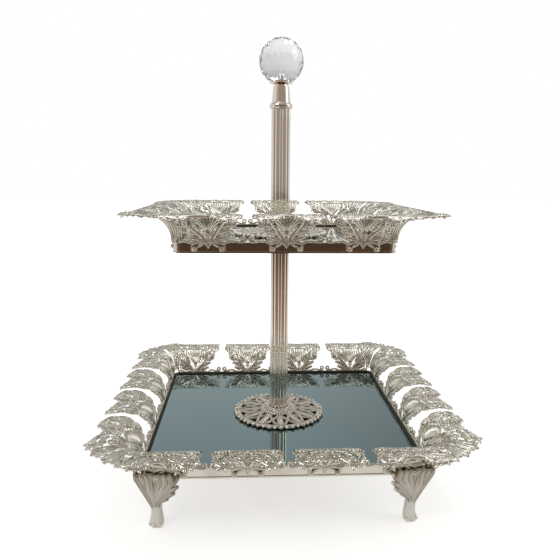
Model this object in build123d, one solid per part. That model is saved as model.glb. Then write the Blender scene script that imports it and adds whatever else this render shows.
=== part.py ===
from build123d import *
import os
from math import cos, radians, sin

# Two-tier square cake stand in silver-plated metal: two mirror trays with cast
# openwork galleries, on one reeded column, with cast leaf feet and a crystal finial.
# Origin on the floor under the column, +Z up, +X along the front, millimetres.

# Driving dimensions: the trays
LOWER_END_REACH = 24.25
UPPER_END_REACH = 27.5
LOWER_PAN_Z = 45.8
TIER_SPACING = 174.2
PAN_SHEET = 1.2
PAN_CORNER_RADIUS = 8.0
PAN_BEAD = 0.8
PAN_BEAD_HEIGHT = 1.2
BOARD_THICKNESS = 2.0
MIRROR_THICKNESS = 3.0
MIRROR_CORNER_RADIUS = 4.0
GASKET_WIDTH = 2.0
GASKET_RISE = 1.0
BAND_LIP = 2.0
TRAY_GAP = 0.1
BOARD_GAP = 0.5

# Driving dimensions: the gallery castings
GALLERY_PITCH = 60.5
LOWER_PER_SIDE = 4
UPPER_PER_SIDE = 3
COVE_RADIUS = 23.5
LIP_LENGTH = 11.0
LIP_BAR = 4.0
LOBE_RADIUS = 4.8
LOBE_HOLE = 1.7
LOBE_PITCH = 10.4
PETAL_TURNS = (-34, -17, 0, 17, 34)
PETAL_START = 2.5
PETAL_BELLY = 2.5
MIDRIB_HALF = 0.9
STEM_HALF = 1.7
BLADE_BELLY = 0.62
HUB_RADIUS = 5.0
VOLUTE_RADIUS = 4.6
VOLUTE_EYE = 2.3
TAIL_EYE_RADIUS = 3.2
TAIL_EYE = 1.5
CORNER_LIP_EXTRA = 9.6
CORNER_LIP_FROM_DEG = 30.0
CORNER_LIP_STEP_DEG = 35.0
CORNER_RIBS = 4
CORNER_RIB_DEG = 4.5
CORNER_WINDOW_MARGIN = 3.0
WEB_THICKNESS = 1.6
RELIEF_INSIDE = 0.8
RELIEF_OUTSIDE = 0.6
RELIEF_START_DEG = 4.0
TONGUE_HALF = 12.5
TONGUE_DROP = 6.6
TONGUE_ROUND = 3.0
CORNER_SPAN_DEG = 42.5
RIVET_SPREAD = 10.5
RIVET_DROP = 4.6
RIVET_RADIUS = 1.0
RIVET_HEAD_RADIUS = 2.2
RIVET_GAP = 0.05

# Driving dimensions: the feet
FOOT_INSET = 11.5
FOOT_WING_GAP = 0.3
FOOT_WING_THICKNESS = 2.0
FOOT_WING_LENGTH = 31.0
FOOT_FINGERS = 5
FOOT_FINGER_BULGE = 2.4
FOOT_WING_TOP_DROP = 0.8
LEG_TOP_INSET = 6.0
KNEE_RADIUS = 6.0
ANKLE_RADIUS = 4.2
ANKLE_Z = 19.0
TOE_RADIUS = 5.6
TOE_Z = 4.0
TOE_BALL_RADIUS = 2.4
TOE_SPREAD_DEG = 50.0

# Driving dimensions: the column and its tie rod
REED_COUNT = 12
REED_RADIUS = 2.0
REED_CIRCLE = 6.6
TUBE_BORE = 6.2
UPPER_TUBE_LENGTH = 116.0
TUBE_CLEARANCE = 0.35
PLUG_LENGTH = 6.0
PLUG_GAP = 0.05
ROD_RADIUS = 3.0
ROD_GAP = 0.08
ROD_TAIL = 8.0
ROD_ENGAGEMENT = 9.0
WASHER_RADIUS = 12.0
WASHER_THICKNESS = 1.5
NUT_FLATS = 10.0
NUT_HEIGHT = 5.0

# Driving dimensions: the pierced rosettes round the column
ROSETTE_RADIUS = 44.0
ROSETTE_BAYS = 12
ROSETTE_RIM_THICKNESS = 3.0
ROSETTE_HUB_RADIUS = 17.0
ROSETTE_HUB_HEIGHT = 4.2
ROSETTE_COLLAR_RADIUS = 12.5
ROSETTE_COLLAR_HEIGHT = 7.0
ROSETTE_RIM_WIDTH = 4.6
ROSETTE_SCALLOP = 3.4
ROSETTE_BAR = 1.7
ROSETTE_LEAF = 2.0

# Driving dimensions: the finial
FERRULE_BEAD_RADIUS = 10.3
FERRULE_BEAD_HEIGHT = 6.4
FERRULE_BASE_RADIUS = 8.3
FERRULE_TOP_RADIUS = 7.2
FERRULE_HEIGHT = 20.2
INSERT_RADIUS = 5.4
INSERT_HEIGHT = 10.0
INSERT_RECESS = 2.6
CUP_NECK_RADIUS = 5.6
CUP_NECK_HEIGHT = 1.2
CUP_FLOOR = 1.4
CUP_RIM_RADIUS = 10.4
CUP_WALL = 1.2
CUP_PETALS = 8
CUP_NOTCH_RADIUS = 1.7
BALL_RADIUS = 20.0
BALL_SIDES = 16
BALL_LATITUDES = (-70, -50, -30, -10, 10, 30, 50, 70)
STUD_RADIUS = 2.0
STUD_IN_BALL = 10.0
STUD_IN_FERRULE = 5.0
SEAT_GAP = 0.3

# Half sides of the trays, from the row of castings and the reach past its last centre line
LOWER_HALF = GALLERY_PITCH * (LOWER_PER_SIDE - 1) / 2 + LOWER_END_REACH
UPPER_HALF = GALLERY_PITCH * (UPPER_PER_SIDE - 1) / 2 + UPPER_END_REACH

# Heights that follow from the stack of each tray
BAND_HEIGHT = PAN_SHEET + BOARD_THICKNESS + MIRROR_THICKNESS + BAND_LIP
UPPER_PAN_Z = LOWER_PAN_Z + TIER_SPACING
MIRROR_LEVEL = PAN_SHEET + BOARD_THICKNESS + MIRROR_THICKNESS
UPPER_TUBE_Z = UPPER_PAN_Z + PAN_SHEET
FERRULE_Z = UPPER_TUBE_Z + UPPER_TUBE_LENGTH
CUP_Z = FERRULE_Z + FERRULE_HEIGHT
BALL_SEAT_Z = CUP_Z + CUP_NECK_HEIGHT + CUP_FLOOR
BALL_CENTRE_Z = BALL_SEAT_Z - BALL_RADIUS * sin(radians(BALL_LATITUDES[0]))
INSERT_Z = FERRULE_Z + INSERT_RECESS
ROD_TOP_Z = INSERT_Z + ROD_ENGAGEMENT
REED_OUTER = REED_CIRCLE + REED_RADIUS
COLUMN_HOLE = REED_OUTER + TUBE_CLEARANCE

os.makedirs("parts", exist_ok=True)


def save(name, *solids):
    """Writes one node, from one solid or a group of like solids."""
    shape = solids[0] if len(solids) == 1 else Compound(children=list(solids))
    export_step(shape, f"parts/{name}.step")


def cylinder(radius, z, height):
    return Pos(0, 0, z) * Cylinder(radius, height, align=(Align.CENTER, Align.CENTER, Align.MIN))


def rounded_square(half, radius):
    return RectangleRounded(2 * half, 2 * half, radius)


def slab(half, radius, z, height):
    return Pos(0, 0, z) * extrude(rounded_square(half, radius), height)


def revolve_outline(*points):
    """Turns a closed (radius, height) outline about the column's axis."""
    outline = Plane.XZ * make_face(Polyline(*points, close=True))
    return revolve(outline, Axis.Z)


def around_tray(count):
    """Turns for the four sides or corners of a tray."""
    return [Rot(0, 0, 360 * index / count) for index in range(count)]


SIDES = ("front", "right", "back", "left")
CORNERS = ("front_right", "back_right", "back_left", "front_left")


# Gallery castings: one coved sheet of openwork, bent from upright at the tray to
# level at the rim. Local frame: X along the side, -Y outwards, origin at the
# outer face of the tray's band on its top edge.

COVE_PLANE = Plane(origin=(0, 0, 0), x_dir=(0, -1, 0), z_dir=(-1, 0, 0))
FAN_PLANE = Plane(origin=(0, 0, 0), x_dir=(1, 0, 0), z_dir=(0, -1, -1))
FAN_TOP = 2 * COVE_RADIUS / 2**0.5
FAN_DEPTH = 2 * COVE_RADIUS
RELIEF_DEPTH = WEB_THICKNESS + RELIEF_OUTSIDE


def cove_profile(inside, outside, start_deg):
    """Section of the cove between two offsets from its reference arc."""
    def arc(radius, first, last):
        places = [radians(first), radians((first + last) / 2), radians(last)]
        return ThreePointArc(*[(COVE_RADIUS - radius * cos(a), radius * sin(a)) for a in places])
    inner = arc(COVE_RADIUS + inside, start_deg, 90)
    outer = arc(COVE_RADIUS - outside, 90, start_deg)
    return make_face([inner, Line(inner @ 1, outer @ 0), outer, Line(outer @ 1, inner @ 0)])


WEB_PROFILE = cove_profile(0, WEB_THICKNESS, 0)
RELIEF_PROFILE = cove_profile(RELIEF_INSIDE, RELIEF_DEPTH, RELIEF_START_DEG)


def facing_up(shape):
    face = shape.face()
    return face if face.normal_at().Z > 0 else -face


def leaf(start, start_radius, end, end_radius):
    """A tapered blade with round ends."""
    discs = [Pos(*start) * Circle(start_radius), Pos(*end) * Circle(end_radius)]
    return facing_up(make_hull(discs[0].edges() + discs[1].edges()))


def blade(start, end, root, belly, tip):
    """A straight-edged leaf from start to end, by its half widths along the way."""
    along = Vector(*end) - Vector(*start)
    across = along.normalized().rotate(Axis.Z, 90)
    stations = [(0, root), (BLADE_BELLY, belly), (1, tip)]
    left = [Vector(*start) + along * share + across * half for share, half in stations]
    right = [Vector(*start) + along * share - across * half for share, half in reversed(stations)]
    return facing_up(make_face(Polyline(*left, *right, close=True)))


def cut_ring(centre, outer, inner):
    """An eight-sided ring, as the eye of a volute."""
    return Pos(*centre) * (RegularPolygon(outer, 8) - RegularPolygon(inner, 8))


def petals(root, belly, tip):
    """The fan's five ribs, from the hub to the lip."""
    ribs = []
    for turn in PETAL_TURNS:
        direction = Vector(sin(radians(turn)), cos(radians(turn)))
        start = HUB + direction * PETAL_START
        length = (FAN_TOP - HUB.Y) / direction.Y
        ribs.append(blade(tuple(start)[:2], tuple(HUB + direction * length)[:2], root, belly, tip))
    return ribs


# The fan's places, in the plane that faces its cove: x along the side, y up the cove
HUB = Vector(0, 0.14 * FAN_TOP)
VOLUTE = (0.29 * GALLERY_PITCH, 0.42 * FAN_TOP)
TAIL_RING = (GALLERY_PITCH / 2 - TAIL_EYE_RADIUS - SEAT_GAP, 0.16 * FAN_TOP)
LIP_HALF = 0.4 * GALLERY_PITCH


def side_scrolls(side):
    """Stem, volute, outer leaf and tail on one side of the fan."""
    volute = (side * VOLUTE[0], VOLUTE[1])
    tail = (side * TAIL_RING[0], TAIL_RING[1])
    stem_end = (side * (VOLUTE[0] - VOLUTE_EYE), VOLUTE[1] - VOLUTE_EYE)
    leaf_start = (volute[0], VOLUTE[1] + VOLUTE_EYE)
    return [
        blade((side * STEM_HALF, 0), stem_end, STEM_HALF, STEM_HALF, STEM_HALF),
        cut_ring(volute, VOLUTE_RADIUS, VOLUTE_EYE),
        blade(leaf_start, (side * (LIP_HALF - STEM_HALF), FAN_TOP), STEM_HALF, PETAL_BELLY, STEM_HALF),
        blade((side * TONGUE_HALF / 2, 0), tail, STEM_HALF, STEM_HALF, STEM_HALF),
        cut_ring(tail, TAIL_EYE_RADIUS, TAIL_EYE),
    ]


def hub():
    return Pos(0, HUB.Y) * RegularPolygon(HUB_RADIUS, 8)


def coved(shapes, profile):
    sheet = extrude(COVE_PLANE * profile, GALLERY_PITCH, both=True)
    return sheet & extrude(FAN_PLANE * (Sketch() + shapes), FAN_DEPTH, both=True)


def lip_sheet(outline):
    return Pos(0, 0, COVE_RADIUS - WEB_THICKNESS) * extrude(outline, WEB_THICKNESS)


def lobe(centre):
    return Pos(*centre) * (Circle(LOBE_RADIUS) - Circle(LOBE_HOLE))


def straight_lip(low, high):
    """The level rim of a fan: a bar with a row of pierced lobes, between two places."""
    bar = Pos((low + high) / 2, -COVE_RADIUS - LIP_BAR / 2) * Rectangle(high - low, LIP_BAR)
    centre_y = LOBE_RADIUS - COVE_RADIUS - LIP_LENGTH
    places = [index * LOBE_PITCH for index in (-2, -1, 0, 1, 2)]
    lobes = [lobe((place, centre_y)) for place in places if low < place < high - LOBE_RADIUS]
    return lip_sheet(Sketch() + [bar] + lobes)


def tongue():
    """The plate at the base that lies on the tray's band, with its rivet holes."""
    width = 2 * TONGUE_HALF
    plate = Pos(0, -TONGUE_DROP / 2) * RectangleRounded(width, TONGUE_DROP, TONGUE_ROUND)
    plate += Pos(0, -TONGUE_DROP / 4) * Rectangle(width, TONGUE_DROP / 2)
    for spread in (-RIVET_SPREAD, RIVET_SPREAD):
        plate -= Pos(spread, -RIVET_DROP) * Circle(RIVET_RADIUS + RIVET_GAP)
    return extrude(Plane.XZ * plate, WEB_THICKNESS)


def middle_palmette():
    """A casting for the straight part of a side."""
    web = petals(STEM_HALF, PETAL_BELLY, STEM_HALF) + [hub()] + side_scrolls(-1) + side_scrolls(1)
    relief = petals(MIDRIB_HALF, MIDRIB_HALF, MIDRIB_HALF)
    casting = coved(web, WEB_PROFILE) + coved(relief, RELIEF_PROFILE)
    return casting + straight_lip(-LIP_HALF, LIP_HALF) + tongue()


def sector(profile, first, last):
    """Part of the cove turned about the centre of the tray's corner, from -Y towards +X."""
    section = COVE_PLANE * Pos(PAN_CORNER_RADIUS, 0) * profile
    return Rot(0, 0, first) * revolve(section, Axis.Z, last - first)


def from_corner(radius, degrees):
    return (radius * sin(radians(degrees)), -radius * cos(radians(degrees)))


def corner_fan():
    """The part of an end casting that turns with the tray's corner, about its centre."""
    window_inner = PAN_CORNER_RADIUS + WEB_THICKNESS + CORNER_WINDOW_MARGIN
    window_outer = PAN_CORNER_RADIUS + COVE_RADIUS - CORNER_WINDOW_MARGIN
    lip_inner = PAN_CORNER_RADIUS + COVE_RADIUS
    fan = sector(WEB_PROFILE, 0, CORNER_SPAN_DEG)
    pitch = CORNER_SPAN_DEG / CORNER_RIBS
    window_reach = (window_inner + window_outer) / 2 - PAN_CORNER_RADIUS
    window = Pos(window_reach, COVE_RADIUS) * Rectangle(window_outer - window_inner, 2 * COVE_RADIUS)
    gap = (pitch - CORNER_RIB_DEG) / 2
    fan -= [sector(window, (i + 0.5) * pitch - gap, (i + 0.5) * pitch + gap) for i in range(CORNER_RIBS)]
    for index in range(1, CORNER_RIBS):
        fan += sector(RELIEF_PROFILE, index * pitch - CORNER_RIB_DEG / 3, index * pitch + CORNER_RIB_DEG / 3)
    quadrant = Polyline((0, 0), from_corner(2 * lip_inner, 0), from_corner(3 * lip_inner, CORNER_SPAN_DEG / 2),
                        from_corner(2 * lip_inner, CORNER_SPAN_DEG), close=True)
    rim = [Circle(lip_inner + LIP_BAR) - Circle(lip_inner)]
    for index in range(CORNER_RIBS):
        reach = CORNER_LIP_EXTRA * sin(radians(CORNER_LIP_FROM_DEG + index * CORNER_LIP_STEP_DEG))
        centre = lip_inner + LIP_LENGTH + reach - LOBE_RADIUS
        rim.append(lobe(from_corner(centre, (index + 0.5) * pitch)))
        rim.append(leaf(from_corner(lip_inner + LIP_BAR / 2, (index + 0.5) * pitch), LIP_BAR / 2,
                        from_corner(centre - (LOBE_RADIUS + LOBE_HOLE) / 2, (index + 0.5) * pitch), LIP_BAR / 2))
    outline = (Sketch() + rim) & facing_up(make_face(quadrant))
    return fan + lip_sheet(outline)


def end_palmette(to_corner):
    """A casting for the right end of a side, splayed round the tray's corner.
    to_corner is the distance from its centre line to the tray's outer corner."""
    straight = to_corner - PAN_CORNER_RADIUS
    bridge = blade((0, 0), (straight + STEM_HALF, 0), HUB.Y, HUB.Y, HUB.Y)
    web = petals(STEM_HALF, PETAL_BELLY, STEM_HALF) + [hub(), bridge] + side_scrolls(-1)
    relief = petals(MIDRIB_HALF, MIDRIB_HALF, MIDRIB_HALF)
    casting = coved(web, WEB_PROFILE) + coved(relief, RELIEF_PROFILE)
    casting &= Pos(straight - GALLERY_PITCH, 0, 0) * Box(2 * GALLERY_PITCH, 4 * FAN_DEPTH, 4 * FAN_DEPTH)
    turned = Pos(straight, PAN_CORNER_RADIUS, 0) * corner_fan()
    return casting + straight_lip(-LIP_HALF, straight) + turned + tongue()


def rivet(grip):
    """A ball-headed rivet along Y: head outside at the origin, shank inwards, set flush."""
    head = Sphere(RIVET_HEAD_RADIUS) & (Pos(0, -RIVET_HEAD_RADIUS, 0) * Box(*[2 * RIVET_HEAD_RADIUS] * 3))
    return head + extrude(Plane.XZ * Circle(RIVET_RADIUS), -grip)


def gallery(tray, half, pan_z, per_side, wing_ends):
    """All castings and rivets of one tray's gallery; returns the rivet places on the front."""
    top = Pos(0, -half, pan_z + BAND_HEIGHT)
    centres = [GALLERY_PITCH * (index - (per_side - 1) / 2) for index in range(per_side)]
    right_end = end_palmette(half - centres[-1])
    castings = [mirror(right_end, Plane.YZ)] + [middle_palmette()] * (per_side - 2) + [right_end]
    places = [centre + spread for centre in centres for spread in (-RIVET_SPREAD, RIVET_SPREAD)]
    stand_offs = [WEB_THICKNESS] * len(places)
    if wing_ends:
        stand_offs[0] = stand_offs[-1] = WEB_THICKNESS + FOOT_WING_GAP + FOOT_WING_THICKNESS
    pins = {stand_off: rivet(PAN_SHEET + stand_off) for stand_off in stand_offs}
    rivets = []
    for turn, side in zip(around_tray(4), SIDES):
        for index, centre in enumerate(centres):
            save(f"{tray}_gallery_{side}_{index + 1}", turn * top * Pos(centre, 0, 0) * castings[index])
        for place, stand_off in zip(places, stand_offs):
            rivets.append(turn * top * Pos(place, -stand_off, -RIVET_DROP) * pins[stand_off])
    save(f"{tray}_gallery_rivets", *rivets)
    return places


# Trays: a folded sheet pan with a beaded bottom edge, a board, a rubber edge gasket
# and a mirror. The column stands on the pan through holes in board and mirror.


def tray(name, half, pan_z, rivet_places):
    pan = slab(half, PAN_CORNER_RADIUS, pan_z, BAND_HEIGHT)
    pan += slab(half + PAN_BEAD, PAN_CORNER_RADIUS + PAN_BEAD, pan_z, PAN_BEAD_HEIGHT)
    inner_half = half - PAN_SHEET
    inner_corner = PAN_CORNER_RADIUS - PAN_SHEET
    pan -= slab(inner_half, inner_corner, pan_z + PAN_SHEET, BAND_HEIGHT)
    pan -= cylinder(ROD_RADIUS + ROD_GAP, pan_z - PAN_SHEET, 3 * PAN_SHEET)
    hole = extrude(Plane.XZ * Circle(RIVET_RADIUS + RIVET_GAP), 2 * PAN_SHEET, both=True)
    rivet_z = pan_z + BAND_HEIGHT - RIVET_DROP
    pan -= [turn * Pos(place, -half, rivet_z) * hole for turn in around_tray(4) for place in rivet_places]
    save(f"{name}_tray_pan", pan)

    board_z = pan_z + PAN_SHEET
    board = slab(inner_half - BOARD_GAP, inner_corner, board_z, BOARD_THICKNESS)
    save(f"{name}_tray_board", board - cylinder(COLUMN_HOLE, board_z, BOARD_THICKNESS))

    gasket_z = board_z + BOARD_THICKNESS
    gasket_half = inner_half - TRAY_GAP
    gasket = slab(gasket_half, inner_corner, gasket_z, MIRROR_THICKNESS + GASKET_RISE)
    gasket_inner = gasket_half - GASKET_WIDTH
    gasket -= slab(gasket_inner, MIRROR_CORNER_RADIUS, gasket_z, MIRROR_THICKNESS + GASKET_RISE)
    save(f"{name}_mirror_gasket", gasket)

    glass = slab(gasket_inner - TRAY_GAP, MIRROR_CORNER_RADIUS, gasket_z, MIRROR_THICKNESS)
    save(f"{name}_mirror", glass - cylinder(COLUMN_HOLE, gasket_z, MIRROR_THICKNESS))


# Feet: a leg under each corner of the lower tray, cast in one with two leaf wings
# that wrap the corner and are riveted through the end castings to the band.

WING_INNER = WEB_THICKNESS + FOOT_WING_GAP
WING_OUTER = WING_INNER + FOOT_WING_THICKNESS
WING_TOP_Z = LOWER_PAN_Z + BAND_HEIGHT - FOOT_WING_TOP_DROP
WING_LOW_Z = ANKLE_Z + 1.0
WING_LOW_INSET = FOOT_INSET - ANKLE_RADIUS
FOOT_DIAGONAL = Plane(origin=(0, 0, 0), z_dir=(1, 1, 0))


def wing_outline():
    """Outline of a wing with a scalloped edge: x from the tray's corner, y from the floor."""
    shoulder = Vector(-FOOT_WING_LENGTH, WING_TOP_Z)
    ankle = Vector(-FOOT_INSET, WING_LOW_Z)
    outwards = (ankle - shoulder).normalized().rotate(Axis.Z, -90)
    places = [shoulder + (ankle - shoulder) * (i / FOOT_FINGERS) for i in range(FOOT_FINGERS + 1)]
    edges = [Polyline(places[-1], (WING_OUTER, WING_LOW_Z), (WING_OUTER, WING_TOP_Z), shoulder)]
    for start, end in zip(places, places[1:]):
        edges.append(ThreePointArc(start, (start + end) / 2 + outwards * FOOT_FINGER_BULGE, end))
    return facing_up(make_face(edges))


def corner_sleeve(inner, outer):
    """A sheet round the tray: upright on the band, leaning in below it to the ankles."""
    def shell_at(offset):
        low = rounded_square(LOWER_HALF - WING_LOW_INSET + offset - WING_OUTER, PAN_CORNER_RADIUS)
        knee = rounded_square(LOWER_HALF + offset, PAN_CORNER_RADIUS + offset)
        leaning = loft([Pos(0, 0, WING_LOW_Z) * low, Pos(0, 0, LOWER_PAN_Z) * knee])
        return leaning + Pos(0, 0, LOWER_PAN_Z) * extrude(knee, BAND_HEIGHT)
    return shell_at(outer) - shell_at(inner)


def wing_cut(outline):
    """Both wings' outline, seen along the front and mirrored to the side."""
    front = Pos(LOWER_HALF, 0, 0) * extrude(Plane.XZ * outline, 2 * LOWER_HALF)
    return front & mirror(front, FOOT_DIAGONAL)


def leg():
    """The cabriole leg from the pan's underside to the toe, on the tray's diagonal."""
    def at(inset, z):
        return Plane(origin=(LOWER_HALF - inset, inset - LOWER_HALF, z))
    top_size = 2 * (LEG_TOP_INSET + WING_INNER + FOOT_WING_THICKNESS / 2)
    knee_inset = (LEG_TOP_INSET + FOOT_INSET) / 2
    shank = loft([
        at(LEG_TOP_INSET, LOWER_PAN_Z) * RectangleRounded(top_size, top_size, PAN_CORNER_RADIUS),
        at(knee_inset, (LOWER_PAN_Z + ANKLE_Z) / 2) * Circle(KNEE_RADIUS),
        at(FOOT_INSET, ANKLE_Z) * Circle(ANKLE_RADIUS),
        at(FOOT_INSET, TOE_Z) * Circle(TOE_RADIUS),
        at(FOOT_INSET, 0) * Circle(TOE_RADIUS),
    ])
    toes = []
    for turn in (-TOE_SPREAD_DEG, 0, TOE_SPREAD_DEG):
        toe = Rot(0, 0, turn - 45) * Pos(TOE_RADIUS, 0, TOE_BALL_RADIUS) * Sphere(TOE_BALL_RADIUS)
        toes.append(Pos(LOWER_HALF - FOOT_INSET, FOOT_INSET - LOWER_HALF, 0) * toe)
    return shank + toes


def foot(rivet_place):
    """The foot at the front right corner, drilled for the rivet nearest to it."""
    wings = corner_sleeve(WING_INNER, WING_OUTER) & wing_cut(wing_outline())
    hole = extrude(Plane.XZ * Circle(RIVET_RADIUS + RIVET_GAP), 2 * WING_OUTER)
    drill = Pos(rivet_place, -LOWER_HALF, LOWER_PAN_Z + BAND_HEIGHT - RIVET_DROP) * hole
    return wings + leg() - [drill, mirror(drill, FOOT_DIAGONAL)]


def feet(rivet_places):
    casting = foot(rivet_places[-1])
    for turn, corner in zip(around_tray(4), CORNERS):
        save(f"foot_{corner}", turn * casting)


# Column: two reeded tubes with end plugs, clamped on the trays by one tie rod with a
# washer and nut under the lower pan, and a pierced rosette round it on each mirror.


def polar(radius, degrees):
    return (radius * cos(radians(degrees)), radius * sin(radians(degrees)))


def reeded_tube(z, length):
    reeds = [Pos(*polar(REED_CIRCLE, 360 * i / REED_COUNT)) * Circle(REED_RADIUS) for i in range(REED_COUNT)]
    section = Sketch() + [Circle(REED_CIRCLE)] + reeds - Circle(TUBE_BORE)
    return Pos(0, 0, z) * extrude(section, length)


def tube_plugs(z, length):
    plug = cylinder(TUBE_BORE - PLUG_GAP, 0, PLUG_LENGTH) - cylinder(ROD_RADIUS + ROD_GAP, 0, PLUG_LENGTH)
    return [Pos(0, 0, z) * plug, Pos(0, 0, z + length - PLUG_LENGTH) * plug]


def rosette():
    """A low pierced dome: leaf ribs and crossed bars between hub and scalloped rim."""
    rim_inner = ROSETTE_RADIUS - ROSETTE_RIM_WIDTH
    dome = revolve_outline(
        (COLUMN_HOLE, 0), (ROSETTE_RADIUS, 0), (ROSETTE_RADIUS, ROSETTE_RIM_THICKNESS),
        (ROSETTE_HUB_RADIUS, ROSETTE_RIM_THICKNESS), (ROSETTE_HUB_RADIUS, ROSETTE_HUB_HEIGHT),
        (ROSETTE_COLLAR_RADIUS, ROSETTE_COLLAR_HEIGHT), (COLUMN_HOLE, ROSETTE_COLLAR_HEIGHT))
    scallop_circle = ROSETTE_RADIUS - ROSETTE_SCALLOP
    bay = 360 / ROSETTE_BAYS
    scallops = [Circle(scallop_circle)]
    bars = []
    for index in range(ROSETTE_BAYS):
        turn = index * bay
        for half_turn in (turn, turn + bay / 2):
            scallops.append(Pos(*polar(scallop_circle, half_turn)) * Circle(ROSETTE_SCALLOP))
        bars.append(leaf(polar(ROSETTE_HUB_RADIUS, turn), ROSETTE_BAR / 2, polar(0.66 * rim_inner, turn), ROSETTE_LEAF))
        bars.append(leaf(polar(0.66 * rim_inner, turn), ROSETTE_LEAF, polar(rim_inner, turn), ROSETTE_BAR / 2))
        for far_turn in (turn + bay, turn - bay):
            start = polar(ROSETTE_HUB_RADIUS, turn)
            bars.append(leaf(start, ROSETTE_BAR / 2, polar(rim_inner, far_turn), ROSETTE_BAR / 2))
    windows = Circle(rim_inner) - Circle(ROSETTE_HUB_RADIUS) - (Sketch() + bars)
    dome = dome & extrude(Sketch() + scallops, ROSETTE_COLLAR_HEIGHT)
    return dome - extrude(windows, ROSETTE_COLLAR_HEIGHT)


def column():
    lower_tube_z = LOWER_PAN_Z + PAN_SHEET
    lower_length = UPPER_PAN_Z - lower_tube_z
    save("lower_column_tube", reeded_tube(lower_tube_z, lower_length))
    save("lower_column_plugs", *tube_plugs(lower_tube_z, lower_length))
    save("upper_column_tube", reeded_tube(UPPER_TUBE_Z, UPPER_TUBE_LENGTH))
    save("upper_column_plugs", *tube_plugs(UPPER_TUBE_Z, UPPER_TUBE_LENGTH))
    disc = rosette()
    save("lower_rosette", Pos(0, 0, LOWER_PAN_Z + MIRROR_LEVEL) * disc)
    save("upper_rosette", Pos(0, 0, UPPER_PAN_Z + MIRROR_LEVEL) * disc)
    washer_z = LOWER_PAN_Z - WASHER_THICKNESS
    nut_z = washer_z - NUT_HEIGHT
    rod_z = LOWER_PAN_Z - ROD_TAIL
    clear = cylinder(ROD_RADIUS + ROD_GAP, nut_z, LOWER_PAN_Z - nut_z)
    nut = Pos(0, 0, nut_z) * extrude(RegularPolygon(NUT_FLATS / 2, 6, major_radius=False), NUT_HEIGHT)
    save("tie_rod", cylinder(ROD_RADIUS, rod_z, ROD_TOP_Z - rod_z))
    save("base_washer", cylinder(WASHER_RADIUS, washer_z, WASHER_THICKNESS) - clear)
    save("base_nut", nut - clear)


# Finial: a turned ferrule with a threaded insert that screws onto the rod, a petal
# cup, and a cut crystal ball held by a stud.


def ferrule():
    bead = FERRULE_BEAD_HEIGHT / 2
    body = revolve_outline((0, 0), (FERRULE_BASE_RADIUS, 0), (FERRULE_BASE_RADIUS, FERRULE_BEAD_HEIGHT),
                           (FERRULE_TOP_RADIUS, FERRULE_HEIGHT), (0, FERRULE_HEIGHT))
    body += Pos(0, 0, bead) * Torus(FERRULE_BEAD_RADIUS - bead, bead)
    body -= cylinder(INSERT_RADIUS + PLUG_GAP, 0, INSERT_RECESS + INSERT_HEIGHT)
    body -= cylinder(STUD_RADIUS + PLUG_GAP, FERRULE_HEIGHT - STUD_IN_FERRULE, STUD_IN_FERRULE)
    return Pos(0, 0, FERRULE_Z) * body


def ball_ring(latitude):
    angle = radians(latitude)
    return BALL_RADIUS * cos(angle), BALL_RADIUS * sin(angle)


def petal_cup():
    flat_radius, flat_z = ball_ring(BALL_LATITUDES[0])
    next_radius, next_z = ball_ring(BALL_LATITUDES[1])
    slope = (next_z - flat_z) / (next_radius - flat_radius)
    seat_radius = flat_radius + SEAT_GAP / slope
    seat = CUP_NECK_HEIGHT + CUP_FLOOR
    rim = seat + slope * (CUP_RIM_RADIUS - seat_radius)
    bore = STUD_RADIUS + PLUG_GAP
    cup = revolve_outline((bore, 0), (CUP_NECK_RADIUS, 0), (CUP_NECK_RADIUS, CUP_NECK_HEIGHT),
                          (CUP_RIM_RADIUS, rim - CUP_WALL), (CUP_RIM_RADIUS, rim),
                          (seat_radius, seat), (bore, seat))
    for index in range(CUP_PETALS):
        notch = Pos(*polar(CUP_RIM_RADIUS, 360 * index / CUP_PETALS), 0)
        cup -= notch * cylinder(CUP_NOTCH_RADIUS, 0, rim)
    return Pos(0, 0, CUP_Z) * cup


def crystal_ball():
    """A ball cut in staggered rows of triangles between two flat tables."""
    step = 360 / BALL_SIDES
    rings = []
    for row, latitude in enumerate(BALL_LATITUDES):
        radius, height = ball_ring(latitude)
        offset = step / 2 * (row % 2)
        rings.append([(*polar(radius, step * i + offset), height) for i in range(BALL_SIDES)])
    corners = [rings[0], rings[-1]]
    for row in range(len(rings) - 1):
        low, high = rings[row], rings[row + 1]
        lead = row % 2
        for i in range(BALL_SIDES):
            following = (i + 1) % BALL_SIDES
            corners.append([low[i], low[following], high[(i + lead) % BALL_SIDES]])
            corners.append([high[i], high[following], low[(i + 1 - lead) % BALL_SIDES]])
    facets = [Face(Wire.make_polygon(points, close=True)) for points in corners]
    ball = Pos(0, 0, BALL_CENTRE_Z) * Solid(Shell(facets))
    return ball - cylinder(STUD_RADIUS + PLUG_GAP, BALL_SEAT_Z, STUD_IN_BALL + SEAT_GAP)


def finial():
    insert = cylinder(INSERT_RADIUS, INSERT_Z, INSERT_HEIGHT)
    stud_z = CUP_Z - STUD_IN_FERRULE
    save("finial_ferrule", ferrule())
    save("finial_insert", insert - cylinder(ROD_RADIUS + ROD_GAP, INSERT_Z, INSERT_HEIGHT))
    save("finial_cup", petal_cup())
    save("finial_stud", cylinder(STUD_RADIUS, stud_z, BALL_SEAT_Z + STUD_IN_BALL - stud_z))
    save("crystal_ball", crystal_ball())


lower_places = gallery("lower", LOWER_HALF, LOWER_PAN_Z, LOWER_PER_SIDE, True)
upper_places = gallery("upper", UPPER_HALF, UPPER_PAN_Z, UPPER_PER_SIDE, False)
tray("lower", LOWER_HALF, LOWER_PAN_Z, lower_places)
tray("upper", UPPER_HALF, UPPER_PAN_Z, upper_places)
feet(lower_places)
column()
finial()
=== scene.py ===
import bpy
import math
from mathutils import Matrix, Vector


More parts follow.
